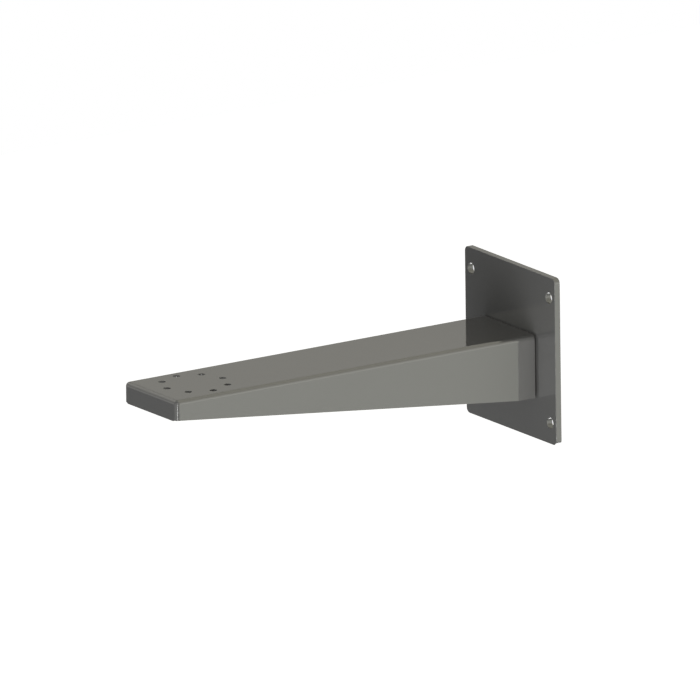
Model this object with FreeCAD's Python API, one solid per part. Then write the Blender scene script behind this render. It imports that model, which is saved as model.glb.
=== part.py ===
"""Camera wall bracket: a wall plate with a tapered, folded sheet arm welded to its front.

The part's frame: X runs across the bracket, Y runs through the wall and Z is up.
The origin is the centre of the wall plate's back face, which lies on the wall.
The arm reaches out along -Y and is open underneath. All sizes are in millimetres.
"""
import FreeCAD, Part
import math
import os

from FreeCAD import Vector

# Wall plate
PLATE_WIDTH = 150.0
PLATE_HEIGHT = 160.0
PLATE_THICKNESS = 6.0
PLATE_CORNER_RADIUS = 5.0
PLATE_EDGE_BREAK = 0.4

# Holes for the four wall bolts, M10 with clearance
WALL_BOLT_DIAMETER = 10.0
WALL_BOLT_CLEARANCE = 1.0
WALL_BOLT_EDGE_X = 10.0
WALL_BOLT_EDGE_Z = 20.0

# Folded arm
ARM_WIDTH = 87.5
ARM_LENGTH = 400.5
ARM_TOP_ABOVE_CENTRE = 20.2
ARM_ROOT_HEIGHT = 60.5
ARM_ROOT_STRAIGHT = 20.0
ARM_TIP_SIDE_HEIGHT = 19.3
ARM_TIP_END_HEIGHT = 20.3
END_LIP_SLANT = 2.0
SHEET_THICKNESS = 3.0
INNER_BEND_RADIUS = 1.0

# Ring of holes for the camera, M6 with clearance
CAMERA_BOLT_DIAMETER = 6.0
CAMERA_BOLT_CLEARANCE = 1.0
CAMERA_BOLT_COUNT = 8
CAMERA_RING_DIAMETER = 62.0
CAMERA_RING_FROM_TIP = 49.5

# Weld that joins the arm to the plate from inside the channel, across a root gap.
# Along the top it fills the gap too, and ends a little below the arm's top.
WELD_ROOT_GAP = 2.0
WELD_LEG = 3.5
WELD_ABOVE_EDGE = 2.0
WELD_TOP_RECESS = 0.6

# How far a cutting body runs past the face that it cuts
CUT_OVERRUN = 5.0

# Places that follow from the sizes above
PLATE_FRONT_Y = -PLATE_THICKNESS
ARM_ROOT_Y = PLATE_FRONT_Y - WELD_ROOT_GAP
ARM_TIP_Y = PLATE_FRONT_Y - ARM_LENGTH
ARM_BOTTOM_Z = ARM_TOP_ABOVE_CENTRE - ARM_ROOT_HEIGHT
OUTER_BEND_RADIUS = INNER_BEND_RADIUS + SHEET_THICKNESS
TAPER_START_Y = PLATE_FRONT_Y - ARM_ROOT_STRAIGHT
TAPER_END_Y = ARM_TIP_Y + OUTER_BEND_RADIUS


def rounded_rectangle(width, height, radius, y):
    """A face across Y: a rectangle about the origin with an arc at each corner."""
    half_w = width / 2
    half_h = height / 2
    reach = radius * math.sqrt(0.5)
    edges = []
    corners = [(1, 1), (-1, 1), (-1, -1), (1, -1)]
    previous = None
    first = None
    for index, (sx, sz) in enumerate(corners):
        centre = Vector(sx * (half_w - radius), y, sz * (half_h - radius))
        on_side = Vector(sx * half_w, y, centre.z)
        on_end = Vector(centre.x, y, sz * half_h)
        middle = Vector(centre.x + sx * reach, y, centre.z + sz * reach)
        start, finish = (on_side, on_end) if index % 2 == 0 else (on_end, on_side)
        if previous is None:
            first = start
        else:
            edges.append(Part.LineSegment(previous, start).toShape())
        edges.append(Part.Arc(start, middle, finish).toShape())
        previous = finish
    edges.append(Part.LineSegment(previous, first).toShape())
    return Part.Face(Part.Wire(edges))


def edges_where(shape, test):
    """The shape's edges whose both ends and middle point pass the test."""
    chosen = []
    for edge in shape.Edges:
        middle = edge.valueAt((edge.FirstParameter + edge.LastParameter) / 2)
        points = [vertex.Point for vertex in edge.Vertexes] + [middle]
        if all(test(point) for point in points):
            chosen.append(edge)
    return chosen


def near(value, target):
    """True where two lengths are the same to a thousandth of a millimetre."""
    return abs(value - target) < 0.001


def wall_plate():
    """The flat plate with rounded corners, a softened front rim and its four bolt holes."""
    outline = rounded_rectangle(PLATE_WIDTH, PLATE_HEIGHT, PLATE_CORNER_RADIUS, 0.0)
    plate = outline.extrude(Vector(0, PLATE_FRONT_Y, 0))
    rim = edges_where(plate, lambda point: near(point.y, PLATE_FRONT_Y))
    plate = plate.makeFillet(PLATE_EDGE_BREAK, rim)

    hole_radius = (WALL_BOLT_DIAMETER + WALL_BOLT_CLEARANCE) / 2
    hole_x = PLATE_WIDTH / 2 - WALL_BOLT_EDGE_X
    hole_z = PLATE_HEIGHT / 2 - WALL_BOLT_EDGE_Z
    depth = PLATE_THICKNESS + 2 * CUT_OVERRUN
    for sx in (-1, 1):
        for sz in (-1, 1):
            start = Vector(sx * hole_x, CUT_OVERRUN, sz * hole_z)
            drill = Part.makeCylinder(hole_radius, depth, start, Vector(0, -1, 0))
            plate = plate.cut(drill)
    return plate


def arm_envelope(inset, back_y, below):
    """The arm as a closed block with rounded folds, each outer face moved in by inset.

    back_y is where the block ends towards the wall, and below is how far it runs
    down past the arm's own lower edges.
    """
    top = ARM_TOP_ABOVE_CENTRE - inset
    tip = ARM_TIP_Y + inset
    half = ARM_WIDTH / 2 - inset
    radius = OUTER_BEND_RADIUS - inset
    tip_bottom = ARM_TOP_ABOVE_CENTRE - ARM_TIP_SIDE_HEIGHT
    outline = [
        Vector(-half, back_y, top),
        Vector(-half, tip, top),
        Vector(-half, tip, tip_bottom - below),
        Vector(-half, TAPER_END_Y, tip_bottom - below),
        Vector(-half, TAPER_START_Y, ARM_BOTTOM_Z - below),
        Vector(-half, back_y, ARM_BOTTOM_Z - below),
    ]
    side = Part.Face(Part.makePolygon(outline + [outline[0]]))
    block = side.extrude(Vector(2 * half, 0, 0))

    def on_fold(point):
        on_top = near(point.z, top)
        on_tip = near(point.y, tip)
        on_side = near(abs(point.x), half)
        return (on_top and on_tip) or (on_top and on_side) or (on_tip and on_side)

    return block.makeFillet(radius, edges_where(block, on_fold))


def end_flange_lip():
    """The strip by which the end flange hangs below the side flanges, with slanted ends."""
    half = ARM_WIDTH / 2 - OUTER_BEND_RADIUS
    half_below = half - END_LIP_SLANT
    bottom = ARM_TOP_ABOVE_CENTRE - ARM_TIP_END_HEIGHT
    side_bottom = ARM_TOP_ABOVE_CENTRE - ARM_TIP_SIDE_HEIGHT
    overlap_z = side_bottom + SHEET_THICKNESS
    outline = [
        Vector(-half_below, ARM_TIP_Y, bottom),
        Vector(half_below, ARM_TIP_Y, bottom),
        Vector(half, ARM_TIP_Y, side_bottom),
        Vector(half, ARM_TIP_Y, overlap_z),
        Vector(-half, ARM_TIP_Y, overlap_z),
        Vector(-half, ARM_TIP_Y, side_bottom),
    ]
    strip = Part.Face(Part.makePolygon(outline + [outline[0]]))
    return strip.extrude(Vector(0, SHEET_THICKNESS, 0))


def arm():
    """The folded sheet: top, two tapered side flanges and an end flange, all one piece."""
    outer = arm_envelope(0.0, ARM_ROOT_Y, 0.0)
    hollow = arm_envelope(SHEET_THICKNESS, ARM_ROOT_Y + CUT_OVERRUN, CUT_OVERRUN)
    folded = outer.cut(hollow).fuse(end_flange_lip()).removeSplitter()

    hole_radius = (CAMERA_BOLT_DIAMETER + CAMERA_BOLT_CLEARANCE) / 2
    centre_y = ARM_TIP_Y + CAMERA_RING_FROM_TIP
    for index in range(CAMERA_BOLT_COUNT):
        angle = 2 * math.pi * index / CAMERA_BOLT_COUNT
        x = CAMERA_RING_DIAMETER / 2 * math.cos(angle)
        y = centre_y + CAMERA_RING_DIAMETER / 2 * math.sin(angle)
        start = Vector(x, y, ARM_TOP_ABOVE_CENTRE - SHEET_THICKNESS - CUT_OVERRUN)
        depth = SHEET_THICKNESS + 2 * CUT_OVERRUN
        folded = folded.cut(Part.makeCylinder(hole_radius, depth, start, Vector(0, 0, 1)))
    return folded


def channel_cone(inset_at_plate, inset_at_end, end_y):
    """A four-sided block that widens from the plate's front face to end_y, open below."""
    bottom = ARM_BOTTOM_Z - CUT_OVERRUN
    wires = []
    for y, inset in ((PLATE_FRONT_Y, inset_at_plate), (end_y, inset_at_end)):
        half = ARM_WIDTH / 2 - inset
        top = ARM_TOP_ABOVE_CENTRE - inset
        corners = [
            Vector(-half, y, bottom),
            Vector(half, y, bottom),
            Vector(half, y, top),
            Vector(-half, y, top),
        ]
        wires.append(Part.makePolygon(corners + [corners[0]]))
    return Part.makeLoft(wires, True, True)


def top_gap_filling():
    """The weld metal that fills the root gap along the arm's flat top, between the two folds."""
    half = ARM_WIDTH / 2 - OUTER_BEND_RADIUS
    inner_top = ARM_TOP_ABOVE_CENTRE - SHEET_THICKNESS
    depth = SHEET_THICKNESS - WELD_TOP_RECESS
    return Part.makeBox(2 * half, WELD_ROOT_GAP, depth, Vector(-half, ARM_ROOT_Y, inner_top))


def root_weld():
    """The weld inside the channel: it bridges the root gap and lies on the sheet's inner faces.

    Its section is a triangle with one leg on the plate and one along the arm, and along the
    top it also fills the gap itself.
    """
    end_y = ARM_ROOT_Y - WELD_LEG
    bottom = ARM_BOTTOM_Z + WELD_ABOVE_EDGE
    run = Part.makeBox(ARM_WIDTH, PLATE_FRONT_Y - end_y, ARM_ROOT_HEIGHT, Vector(-ARM_WIDTH / 2, end_y, bottom))
    filled = arm_envelope(SHEET_THICKNESS, PLATE_FRONT_Y, 0.0).common(run)
    leg_on_plate = WELD_ROOT_GAP + WELD_LEG
    open_space = channel_cone(SHEET_THICKNESS + leg_on_plate, SHEET_THICKNESS, end_y)
    return filled.cut(open_space).fuse(top_gap_filling()).removeSplitter()


def main():
    os.makedirs("parts", exist_ok=True)
    nodes = {
        "wall_plate": wall_plate(),
        "arm": arm(),
        "root_weld": root_weld(),
    }
    for name, shape in nodes.items():
        shape.exportStep(f"parts/{name}.step")
        print(name, "valid", shape.isValid(), "solids", len(shape.Solids), "volume", round(shape.Volume, 1))


main()
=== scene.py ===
"""Camera wall bracket: the looks, the light and the camera for the parts made in CAD.

Lengths are metres in the part's own frame: X across the bracket, Y into the wall and Z up.
The origin is the centre of the wall plate's back face. The arm reaches out along -Y.
Azimuths are degrees from +X towards +Y, and elevations are degrees above the horizon.
"""

import math
from types import SimpleNamespace

import bpy
import numpy as np
from mathutils import Matrix, Vector


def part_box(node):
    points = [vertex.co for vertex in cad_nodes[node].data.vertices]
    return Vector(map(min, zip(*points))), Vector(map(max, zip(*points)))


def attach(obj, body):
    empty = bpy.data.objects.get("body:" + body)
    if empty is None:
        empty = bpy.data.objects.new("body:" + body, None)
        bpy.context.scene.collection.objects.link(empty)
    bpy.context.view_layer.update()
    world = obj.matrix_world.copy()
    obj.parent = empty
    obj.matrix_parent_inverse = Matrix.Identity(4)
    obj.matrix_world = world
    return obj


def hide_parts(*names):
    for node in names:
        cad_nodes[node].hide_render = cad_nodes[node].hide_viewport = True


MM = 0.001

# The view: no perspective, so a camera that looks along one direction with a fixed width. The
# angles say where it stands and how far it is turned about its own line of sight.
VIEW_AZIMUTH = -33.461
VIEW_ELEVATION = 15.226
VIEW_ROLL = -0.673
PICTURE_SIDE = 700
PIXELS_PER_MM = 1.0795
ORIGIN_IN_PICTURE = (515.857, 344.631)
CAMERA_DISTANCE = 1.0

# The folded sheet that the welds lie on
SHEET_THICKNESS = 3.0 * MM
INNER_BEND_RADIUS = 1.0 * MM
OUTER_BEND_RADIUS = INNER_BEND_RADIUS + SHEET_THICKNESS

# The welds' surface. A wave of the leg has its share of the leg, its length and its phase.
BEAD_CROWN = 0.55 * MM
GROOVE_CROWN = 0.10 * MM
RIPPLE_PITCH = 1.7 * MM
RIPPLE_HEIGHT = 0.18 * MM
RIPPLE_SWEEP = 1.5 * MM
GROOVE_RIPPLE_SHARE = 0.4
BEAD_CORNER_GROWTH = 0.35
BEAD_LEG_SHARE = 0.94
BEAD_LEG_WAVES = ((0.035, 7.3 * MM, 0.0), (0.025, 2.9 * MM, 1.3))
BEAD_END_LENGTH = 3.0 * MM
BEAD_END_SIZE = 0.30

# How finely the welds are divided
STEP_ALONG = 0.17 * MM
FEWEST_STEPS = 12
BEAD_STEPS_ACROSS = 18
GROOVE_STEPS_ACROSS = 12

# The enamel's two noises: cloud makes its colour and gloss wander, and peel is its fine bump.
# Their scales are per metre.
ENAMEL_COLOUR = (0.200, 0.200, 0.193)
WELD_COLOUR = (0.180, 0.180, 0.172)
ENAMEL_IOR = 1.6
ROUGHNESS_SPREAD = 0.01
CLOUD_SCALE = 28.0
CLOUD_DETAIL = 3.0
PEEL_SCALE = 420.0
PEEL_DETAIL = 1.0

# The floor below the bracket
FLOOR_HEIGHT = -0.38
FLOOR_HALF_SIDE = 2.0
FLOOR_COLOUR = (0.8, 0.8, 0.8, 1)
FLOOR_GLOW = 0.95
WHITE = (1, 1, 1, 1)

# Tints of the light
NEUTRAL = (1.0, 1.0, 1.0)
WARM = (1.0, 0.98, 0.90)
AMBER = (1.0, 0.97, 0.78)
OLIVE = (1.0, 1.035, 0.905)
COOL = (0.99, 1.0, 1.05)

# Light that the enamel scatters, mostly from low down, with some from the front and above. Each
# patch has its azimuth, elevation, strength and tint, and all have one spread: the angles from
# the middle at which a patch starts to fade and is gone.
SCATTERED_SPREAD = (5, 38)
SCATTERED_LIGHT = [
    (67.5, -12, 1.8, NEUTRAL),
    (165, -12, 1.6, NEUTRAL),
    (0, -35, 1.35, NEUTRAL),
    (0, 12, 0.95, WARM),
    (270, -35, 0.88, COOL),
    (315, -35, 0.88, NEUTRAL),
    (67.5, 38, 0.6, AMBER),
    (270, 12, 0.5, NEUTRAL),
    (292.5, -12, 0.35, NEUTRAL),
]

# Light that the enamel's gloss mirrors. Each patch has its azimuth, elevation, the angles from
# its middle at which it starts to fade and is gone, strength and tint.
MIRRORED_LIGHT = [
    # The bright line down the arm's near corner, and the dimmer strip to its left
    (320.5, -15, 3, 7.5, 9.5, NEUTRAL),
    (262, -15, 22, 42, 0.4, NEUTRAL),
    # The white spots in the wall holes and under the plate's near corner
    (116, -54, 8, 36, 5.8, NEUTRAL),
    (87, -58, 5, 14, 2.4, NEUTRAL),
    # The arm's near side and the fold above it, which the plate mirrors once more
    (33, -15, 6, 32, 1.36, OLIVE),
    (33, 10, 6, 28, 1.25, WARM),
    (64, 54, 6, 32, 0.3, AMBER),
    (75, 50, 15, 60, 1.1, AMBER),
    (139, 38, 5, 20, 0.2, WARM),
    (323, 26, 4, 14, 3.2, NEUTRAL),
    # The arm's top and the fold at its end
    (170, 25, 10, 50, 0.75, WARM),
    (174, 38, 6, 26, 0.2, WARM),
    (198, 32, 6, 27, 0.9, WARM),
    (214, 3, 4, 16, 0.62, WARM),
    (214, -3, 4, 10, 0.35, WARM),
    # The plate's front and the arm's end
    (213, -15, 6, 32, 0.1, NEUTRAL),
    (240, 52, 6, 30, 0.6, NEUTRAL),
    # The rounded tip, and fill for the sides that the picture doesn't show
    (0, 90, 10, 45, 0.8, NEUTRAL),
    (290, 22, 8, 38, 0.6, NEUTRAL),
    (345, 22, 8, 38, 0.6, NEUTRAL),
    (170, -15, 6, 32, 0.8, NEUTRAL),
]


# Welds

def weld_bed():
    """Where the welds lie, from the CAD boxes of the arm and of the plain weld that they replace."""
    arm_top_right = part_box("arm")[1]
    weld_low, weld_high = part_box("root_weld")
    return SimpleNamespace(
        plate_front=weld_high.y,
        leg=weld_high.y - weld_low.y,
        lowest=weld_low.z,
        half_width=arm_top_right.x - SHEET_THICKNESS,
        ceiling=arm_top_right.z - SHEET_THICKNESS,
        groove_front=arm_top_right.y,
        groove_half_width=arm_top_right.x - OUTER_BEND_RADIUS,
        groove_top=weld_high.z,
    )


def closed_strip(name, rings, soft_sides):
    """A closed mesh from rings of points: quads between neighbouring rings and a face on each end.

    rings is an array of stations by points round the ring by x, y and z. The first soft_sides
    sides of each ring are shaded smooth, and the rest and the ends are flat.
    """
    stations, around, _ = rings.shape
    low, place = np.meshgrid(np.arange(stations - 1) * around, np.arange(around), indexing="ij")
    following = (place + 1) % around
    high = low + around
    quads = np.stack((low + place, high + place, high + following, low + following), axis=-1)
    last = (stations - 1) * around
    ends = [list(range(around)), list(range(last + around - 1, last - 1, -1))]
    mesh = bpy.data.meshes.new(name)
    mesh.from_pydata(rings.reshape(-1, 3), [], quads.reshape(-1, 4).tolist() + ends)
    mesh.polygons.foreach_set("use_smooth", np.append((place < soft_sides).ravel(), [False, False]))
    mesh.update()
    piece = bpy.data.objects.new(name, mesh)
    bpy.context.scene.collection.objects.link(piece)
    return piece


def ripples(along, across):
    """The welds' ripples, 0 to 1: abs(sin(pi * (s + sweep * (2t-1)^2) / pitch)), s along, t across."""
    return np.abs(np.sin(np.pi * (along + RIPPLE_SWEEP * (2 * across - 1) ** 2) / RIPPLE_PITCH))


def bead_sides(bed, inward):
    """Sizes of the line that runs round the channel at a distance inside the sheet.

    The line goes up one side, round a corner, across, round a corner and down. The corner's
    radius grows with the distance, so that the bead fills the channel's corners.
    """
    radius = INNER_BEND_RADIUS + BEAD_CORNER_GROWTH * inward
    return radius, bed.half_width - inward, bed.ceiling - inward


def bead_line(bed, part, share, inward):
    """x and z on that line, as arrays: share runs from 0 to 1 along each of its five parts.

    A straight part is its start plus share times its length. A corner is its centre plus radius
    times the sine and cosine of share * 90 degrees.
    """
    radius, half, ceiling = bead_sides(bed, inward)
    corner_x = half - radius
    corner_z = ceiling - radius
    upright = share * (corner_z - bed.lowest)
    forth = radius * np.sin(share * math.pi / 2)
    back = radius * np.cos(share * math.pi / 2)
    x = [-half, -corner_x - back, corner_x * (2 * share - 1), corner_x + forth, half]
    z = [bed.lowest + upright, corner_z + forth, ceiling, corner_z + back, corner_z - upright]
    return np.choose(part, x), np.choose(part, z)


def bead_stations(lengths):
    """Evenly spaced stations down the line: the part, the share of it and the length gone by.

    Each answer is a column. A part's first station is left out where the part before it ends
    there.
    """
    parts = []
    shares = []
    gone_by = []
    for part, length in enumerate(lengths):
        steps = max(FEWEST_STEPS, round(length / STEP_ALONG))
        share = np.arange(0 if part == 0 else 1, steps + 1) / steps
        parts.append(np.full(len(share), part))
        shares.append(share)
        gone_by.append(sum(lengths[:part]) + length * share)
    return [np.concatenate(column)[:, None] for column in (parts, shares, gone_by)]


def weld_bead(bed):
    """The fillet weld inside the channel, as one closed surface.

    Its section is a right triangle with one leg on the plate and one along the sheet. The
    slanted side is raised by crown * d + height * ripples * sqrt(d), with d = 4t(1-t) and t
    from 0 at the plate to 1 at the sheet. The leg changes a little along the way, as a sum of
    two sine waves, and shrinks to a round end at both ends.
    """
    radius, half, ceiling = bead_sides(bed, bed.leg / 2)
    upright = ceiling - radius - bed.lowest
    corner = radius * math.pi / 2
    lengths = [upright, corner, 2 * (half - radius), corner, upright]
    part, share, along = bead_stations(lengths)

    from_end = np.minimum(along, sum(lengths) - along)
    rounding = np.sqrt(1 - (1 - np.clip(from_end / BEAD_END_LENGTH, 0, 1)) ** 2)
    size = BEAD_END_SIZE + (1 - BEAD_END_SIZE) * rounding
    wander = 1 + sum(swing * np.sin(along / length + phase) for swing, length, phase in BEAD_LEG_WAVES)
    leg = bed.leg * size * np.minimum(1.0, BEAD_LEG_SHARE * wander)

    across = np.linspace(0.0, 1.0, BEAD_STEPS_ACROSS + 1)
    dome = 4 * across * (1 - across)
    ripple = RIPPLE_HEIGHT * ripples(along, across) * np.sqrt(dome)
    raised = size * (BEAD_CROWN * dome + ripple) * math.sqrt(0.5)
    at_root = np.zeros_like(along)
    inward = np.hstack((leg * (1 - across) + raised, at_root))
    depth = np.hstack((leg * across + raised, at_root))
    x, z = bead_line(bed, part, share, inward)
    return closed_strip("weld_bead", np.stack((x, bed.plate_front - depth, z), axis=-1), BEAD_STEPS_ACROSS)


def groove_weld(bed):
    """The weld metal that fills the gap along the arm's top, as one closed strip.

    Its upper face is raised by crown * 4t(1-t) * (1 - share + share * ripples), where t runs
    from 0 at the sheet's edge to 1 at the plate.
    """
    steps = round(2 * bed.groove_half_width / STEP_ALONG)
    along = np.linspace(-bed.groove_half_width, bed.groove_half_width, steps + 1)[:, None]
    across = np.linspace(0.0, 1.0, GROOVE_STEPS_ACROSS + 1)
    dome = 4 * across * (1 - across)
    rippled = 1 - GROOVE_RIPPLE_SHARE + GROOVE_RIPPLE_SHARE * ripples(along, across)
    at_bottom = np.full_like(along, bed.ceiling)
    z = np.hstack((bed.groove_top + GROOVE_CROWN * dome * rippled, at_bottom, at_bottom))
    y = bed.groove_front + across * (bed.plate_front - bed.groove_front)
    y = np.append(y, [bed.plate_front, bed.groove_front])
    x, y, z = np.broadcast_arrays(along, y, z)
    return closed_strip("groove_weld", np.stack((x, y, z), axis=-1), GROOVE_STEPS_ACROSS)


# Enamel

def enamel(name, colour, peel, patchiness, roughness):
    """A baked enamel over steel: glossy, evenly dark, with a very fine orange peel.

    peel is the bump's height in metres, and patchiness is how far the colour wanders.
    """
    material = bpy.data.materials.new(name)
    material.use_nodes = True
    nodes = material.node_tree.nodes
    links = material.node_tree.links
    shader = nodes["Principled BSDF"]
    shader.inputs["IOR"].default_value = ENAMEL_IOR
    place = nodes.new("ShaderNodeTexCoord")

    cloud = nodes.new("ShaderNodeTexNoise")
    cloud.inputs["Scale"].default_value = CLOUD_SCALE
    cloud.inputs["Detail"].default_value = CLOUD_DETAIL
    links.new(place.outputs["Object"], cloud.inputs["Vector"])

    tone = nodes.new("ShaderNodeMix")
    tone.data_type = "RGBA"
    tone.inputs["A"].default_value = (*(channel * (1 - patchiness) for channel in colour), 1)
    tone.inputs["B"].default_value = (*(channel * (1 + patchiness) for channel in colour), 1)
    links.new(cloud.outputs["Fac"], tone.inputs["Factor"])
    links.new(tone.outputs["Result"], shader.inputs["Base Color"])

    haze = nodes.new("ShaderNodeMapRange")
    haze.inputs["To Min"].default_value = roughness - ROUGHNESS_SPREAD
    haze.inputs["To Max"].default_value = roughness + ROUGHNESS_SPREAD
    links.new(cloud.outputs["Fac"], haze.inputs["Value"])
    links.new(haze.outputs["Result"], shader.inputs["Roughness"])

    grain = nodes.new("ShaderNodeTexNoise")
    grain.inputs["Scale"].default_value = PEEL_SCALE
    grain.inputs["Detail"].default_value = PEEL_DETAIL
    links.new(place.outputs["Object"], grain.inputs["Vector"])

    bump = nodes.new("ShaderNodeBump")
    bump.inputs["Distance"].default_value = peel
    links.new(grain.outputs["Fac"], bump.inputs["Height"])
    links.new(bump.outputs["Normal"], shader.inputs["Normal"])
    return material


# Light

def direction(azimuth, elevation):
    """The unit vector towards a place on the sky."""
    a = math.radians(azimuth)
    e = math.radians(elevation)
    return Vector((math.cos(e) * math.cos(a), math.cos(e) * math.sin(a), math.sin(e)))


def softbox(tree, azimuth, elevation, full, edge, strength, tint):
    """The light of a round patch of sky: at full strength inside one angle, faded out at another."""
    nodes = tree.nodes
    links = tree.links
    sky = nodes.new("ShaderNodeTexCoord")
    across = nodes.new("ShaderNodeVectorMath")
    across.operation = "DOT_PRODUCT"
    links.new(sky.outputs["Generated"], across.inputs[0])
    across.inputs[1].default_value = direction(azimuth, elevation)
    fade = nodes.new("ShaderNodeMapRange")
    fade.interpolation_type = "SMOOTHSTEP"
    links.new(across.outputs["Value"], fade.inputs["Value"])
    fade.inputs["From Min"].default_value = math.cos(math.radians(edge))
    fade.inputs["From Max"].default_value = math.cos(math.radians(full))
    fade.inputs["To Max"].default_value = strength
    colour = nodes.new("ShaderNodeVectorMath")
    colour.operation = "SCALE"
    colour.inputs[0].default_value = tint
    links.new(fade.outputs["Result"], colour.inputs["Scale"])
    return colour.outputs["Vector"]


def added(tree, lights):
    """The sum of several lights."""
    total = lights[0]
    for light in lights[1:]:
        plus = tree.nodes.new("ShaderNodeVectorMath")
        plus.operation = "ADD"
        tree.links.new(total, plus.inputs[0])
        tree.links.new(light, plus.inputs[1])
        total = plus.outputs["Vector"]
    return total


def studio():
    """A white room to the camera, with soft light for the enamel and lamps that its gloss mirrors."""
    world = bpy.data.worlds.new("studio")
    bpy.context.scene.world = world
    world.use_nodes = True
    tree = world.node_tree
    tree.nodes.clear()
    nodes = tree.nodes
    links = tree.links

    scattered = []
    for azimuth, elevation, strength, tint in SCATTERED_LIGHT:
        scattered.append(softbox(tree, azimuth, elevation, *SCATTERED_SPREAD, strength, tint))
    mirrored = [softbox(tree, *patch) for patch in MIRRORED_LIGHT]

    ray = nodes.new("ShaderNodeLightPath")
    choice = nodes.new("ShaderNodeMix")
    choice.data_type = "RGBA"
    links.new(ray.outputs["Is Glossy Ray"], choice.inputs["Factor"])
    links.new(added(tree, scattered), choice.inputs["A"])
    links.new(added(tree, mirrored), choice.inputs["B"])

    lamps = nodes.new("ShaderNodeBackground")
    links.new(choice.outputs["Result"], lamps.inputs["Color"])
    backdrop = nodes.new("ShaderNodeBackground")
    backdrop.inputs["Color"].default_value = WHITE
    seen = nodes.new("ShaderNodeMixShader")
    links.new(ray.outputs["Is Camera Ray"], seen.inputs["Fac"])
    links.new(lamps.outputs["Background"], seen.inputs[1])
    links.new(backdrop.outputs["Background"], seen.inputs[2])
    output = nodes.new("ShaderNodeOutputWorld")
    links.new(seen.outputs["Shader"], output.inputs["Surface"])


def floor_paper():
    """White paper that glows a little under full white by itself, and is clear from below."""
    material = bpy.data.materials.new("white_paper")
    material.use_nodes = True
    nodes = material.node_tree.nodes
    links = material.node_tree.links
    nodes.clear()
    matte = nodes.new("ShaderNodeBsdfDiffuse")
    matte.inputs["Color"].default_value = FLOOR_COLOUR
    glow = nodes.new("ShaderNodeEmission")
    glow.inputs["Color"].default_value = WHITE
    glow.inputs["Strength"].default_value = FLOOR_GLOW
    both = nodes.new("ShaderNodeAddShader")
    links.new(matte.outputs["BSDF"], both.inputs[0])
    links.new(glow.outputs["Emission"], both.inputs[1])
    clear = nodes.new("ShaderNodeBsdfTransparent")
    side = nodes.new("ShaderNodeNewGeometry")
    sheet = nodes.new("ShaderNodeMixShader")
    links.new(side.outputs["Backfacing"], sheet.inputs["Fac"])
    links.new(both.outputs["Shader"], sheet.inputs[1])
    links.new(clear.outputs["BSDF"], sheet.inputs[2])
    output = nodes.new("ShaderNodeOutputMaterial")
    links.new(sheet.outputs["Shader"], output.inputs["Surface"])
    return material


def pale_floor():
    """A wide white floor below the bracket, which only the camera sees, so it sends no light up."""
    corners = [(-1, -1), (1, -1), (1, 1), (-1, 1)]
    points = [(x * FLOOR_HALF_SIDE, y * FLOOR_HALF_SIDE, FLOOR_HEIGHT) for x, y in corners]
    mesh = bpy.data.meshes.new("floor")
    mesh.from_pydata(points, [], [(0, 1, 2, 3)])
    mesh.materials.append(floor_paper())
    floor = bpy.data.objects.new("floor", mesh)
    bpy.context.scene.collection.objects.link(floor)
    floor.visible_diffuse = False
    floor.visible_glossy = False
    floor.visible_transmission = False
    floor.visible_shadow = False


# View

def place_camera():
    """A camera without perspective, set so that the part's origin falls on its place in the picture."""
    lens = bpy.data.cameras.new("camera")
    lens.type = "ORTHO"
    lens.ortho_scale = PICTURE_SIDE / PIXELS_PER_MM * MM
    camera = bpy.data.objects.new("camera", lens)
    bpy.context.scene.collection.objects.link(camera)
    middle = PICTURE_SIDE / 2
    sideways = (middle - ORIGIN_IN_PICTURE[0]) / PIXELS_PER_MM * MM
    upwards = (ORIGIN_IN_PICTURE[1] - middle) / PIXELS_PER_MM * MM
    back = direction(VIEW_AZIMUTH, VIEW_ELEVATION)
    level = Vector((0, 0, 1)).cross(back).normalized()
    roll = math.radians(VIEW_ROLL)
    right = level * math.cos(roll) + back.cross(level) * math.sin(roll)
    up = back.cross(right)
    pose = Matrix((right, up, back)).transposed().to_4x4()
    pose.translation = right * sideways + up * upwards + back * CAMERA_DISTANCE
    camera.matrix_world = pose
    bpy.context.scene.camera = camera


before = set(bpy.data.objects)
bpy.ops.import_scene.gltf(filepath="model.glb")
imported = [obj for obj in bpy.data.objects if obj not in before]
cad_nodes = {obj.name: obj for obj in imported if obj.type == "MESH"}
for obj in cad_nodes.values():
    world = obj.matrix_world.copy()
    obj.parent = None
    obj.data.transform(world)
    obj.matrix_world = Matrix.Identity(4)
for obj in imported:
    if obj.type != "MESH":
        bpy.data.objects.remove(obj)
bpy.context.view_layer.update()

plate_enamel = enamel("plate_enamel", ENAMEL_COLOUR, peel=0.001 * MM, patchiness=0.02, roughness=0.06)
arm_enamel = enamel("arm_enamel", ENAMEL_COLOUR, peel=0.001 * MM, patchiness=0.02, roughness=0.06)
weld_enamel = enamel("weld_enamel", WELD_COLOUR, peel=0.003 * MM, patchiness=0.06, roughness=0.12)
cad_nodes["wall_plate"].data.materials[0] = plate_enamel
cad_nodes["arm"].data.materials[0] = arm_enamel

bed = weld_bed()
for weld in (weld_bead(bed), groove_weld(bed)):
    weld.data.materials.append(weld_enamel)
    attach(weld, "root")
    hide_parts("root_weld")

studio()
pale_floor()
place_camera()
bpy.context.scene.view_settings.view_transform = "Standard"
